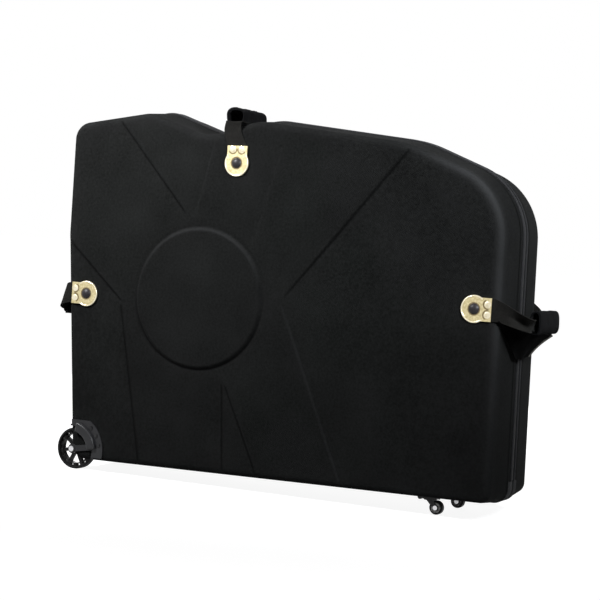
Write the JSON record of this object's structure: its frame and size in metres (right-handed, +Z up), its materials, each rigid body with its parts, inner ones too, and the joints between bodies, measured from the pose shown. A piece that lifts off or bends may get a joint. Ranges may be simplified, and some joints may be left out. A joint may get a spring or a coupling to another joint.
{
  "type": "bike travel case",
  "caption": "Clamshell bicycle travel case with moulded half shells, perimeter zip, webbing carry straps, large transport wheels and swivel casters.",
  "frame": {"origin": "on the floor under the middle of the overall length and depth", "axes": "+X to the right end with the casters, -Y to the front half, +Z up"},
  "size_m": [1.296, 0.2932, 0.9325],
  "materials": {
    "shell_fabric": "matte",
    "binding_fabric": "matte",
    "zip_tape": "matte",
    "zip_coil": "satin",
    "hinge_fabric": "matte",
    "slider_metal": "satin",
    "pull_plastic": "matte",
    "plate_brass": "satin",
    "cap_black": "gloss",
    "steel": "satin",
    "webbing": "matte",
    "grip_fabric": "matte",
    "tyre_rubber": "matte",
    "wheel_plastic": "satin",
    "housing_plastic": "satin",
    "caster_steel": "satin",
    "caster_wheel": "satin",
    "divider_fabric": "matte",
    "tie_webbing": "matte",
    "buckle_plastic": "satin"
  },
  "bodies": {
    "rear_half": {"rear_shell": "shell_fabric", "rear_rim_binding": "binding_fabric", "rear_zip_tape": "zip_tape", "rear_zip_coil": "zip_coil", "rear_hinge_leaf": "hinge_fabric", "rear_strap_plates": "plate_brass", "rear_neck_rivets": "plate_brass", "rear_rivet_caps": "cap_black", "rear_rivet_washers": "steel", "rear_right_webbing": "webbing", "rear_top_webbing": "webbing", "rear_left_webbing": "webbing", "rear_axle_bolt": "steel", "rear_axle_nut": "steel", "rear_screws": "steel", "rear_wheel_housing": "housing_plastic", "rear_caster_plate": "caster_steel", "rear_caster_kingpin": "caster_steel", "right_grip": "grip_fabric", "top_grip": "grip_fabric", "left_grip": "grip_fabric", "padded_divider": "divider_fabric", "tie_down_straps": "tie_webbing", "tie_down_buckles": "buckle_plastic"},
    "front_half": {"front_shell": "shell_fabric", "front_rim_binding": "binding_fabric", "front_zip_tape": "zip_tape", "front_zip_coil": "zip_coil", "front_hinge_leaf": "hinge_fabric", "front_strap_plates": "plate_brass", "front_neck_rivets": "plate_brass", "front_rivet_caps": "cap_black", "front_rivet_washers": "steel", "front_right_webbing": "webbing", "front_top_webbing": "webbing", "front_left_webbing": "webbing", "front_axle_bolt": "steel", "front_axle_nut": "steel", "front_screws": "steel", "front_wheel_housing": "housing_plastic", "front_caster_plate": "caster_steel", "front_caster_kingpin": "caster_steel"},
    "front_wheel": {"front_wheel_tyre": "tyre_rubber", "front_wheel_core": "wheel_plastic", "front_wheel_bearings": "steel"},
    "front_caster_swivel": {"front_caster_fork": "caster_steel", "front_caster_axle": "caster_steel"},
    "front_caster_roller": {"front_caster_wheel": "caster_wheel"},
    "rear_wheel": {"rear_wheel_tyre": "tyre_rubber", "rear_wheel_core": "wheel_plastic", "rear_wheel_bearings": "steel"},
    "rear_caster_swivel": {"rear_caster_fork": "caster_steel", "rear_caster_axle": "caster_steel"},
    "rear_caster_roller": {"rear_caster_wheel": "caster_wheel"},
    "lower_slider": {"lower_zip_slider": "slider_metal"},
    "lower_pull": {"lower_zip_pull": "pull_plastic"},
    "upper_slider": {"upper_zip_slider": "slider_metal"},
    "upper_pull": {"upper_zip_pull": "pull_plastic"}
  },
  "joints": [
    {"name": "lid_hinge", "type": "hinge", "parent": "rear_half", "child": "front_half", "pos_m": [0.01236, 0, 0.0285], "axis": [0.9998, 0, 0.0176], "range_deg": [0, 95]},
    {"name": "front_wheel_spin", "type": "hinge", "parent": "front_half", "child": "front_wheel", "pos_m": [-0.54567, -0.112, 0.0525], "axis": [0, 1, 0], "continuous": true},
    {"name": "front_caster_turn", "type": "hinge", "parent": "front_half", "child": "front_caster_swivel", "pos_m": [0.40533, -0.072, 0.03], "axis": [0, 0, 1], "continuous": true},
    {"name": "front_caster_roll", "type": "hinge", "parent": "front_caster_swivel", "child": "front_caster_roller", "pos_m": [0.42533, -0.072, 0.0165], "axis": [0, 1, 0], "continuous": true},
    {"name": "rear_wheel_spin", "type": "hinge", "parent": "rear_half", "child": "rear_wheel", "pos_m": [-0.54567, 0.112, 0.0525], "axis": [0, 1, 0], "continuous": true},
    {"name": "rear_caster_turn", "type": "hinge", "parent": "rear_half", "child": "rear_caster_swivel", "pos_m": [0.40533, 0.072, 0.03], "axis": [0, 0, 1], "continuous": true},
    {"name": "rear_caster_roll", "type": "hinge", "parent": "rear_caster_swivel", "child": "rear_caster_roller", "pos_m": [0.42533, 0.072, 0.0165], "axis": [0, 1, 0], "continuous": true},
    {"name": "lower_zip_slide", "type": "slide", "parent": "rear_half", "child": "lower_slider", "axis": [-0.0866, 0, 0.9962], "range_m": [0, 0.03]},
    {"name": "lower_pull_swing", "type": "hinge", "parent": "lower_slider", "child": "lower_pull", "pos_m": [-0.57322, 0, 0.10415], "axis": [0, 1, 0], "range_deg": [-4, 145]},
    {"name": "upper_zip_slide", "type": "slide", "parent": "rear_half", "child": "upper_slider", "axis": [-0.0866, 0, 0.9962], "range_m": [0, 0.09]},
    {"name": "upper_pull_swing", "type": "hinge", "parent": "upper_slider", "child": "upper_pull", "pos_m": [-0.58452, 0, 0.23415], "axis": [0, 1, 0], "range_deg": [-4, 145]}
  ]
}
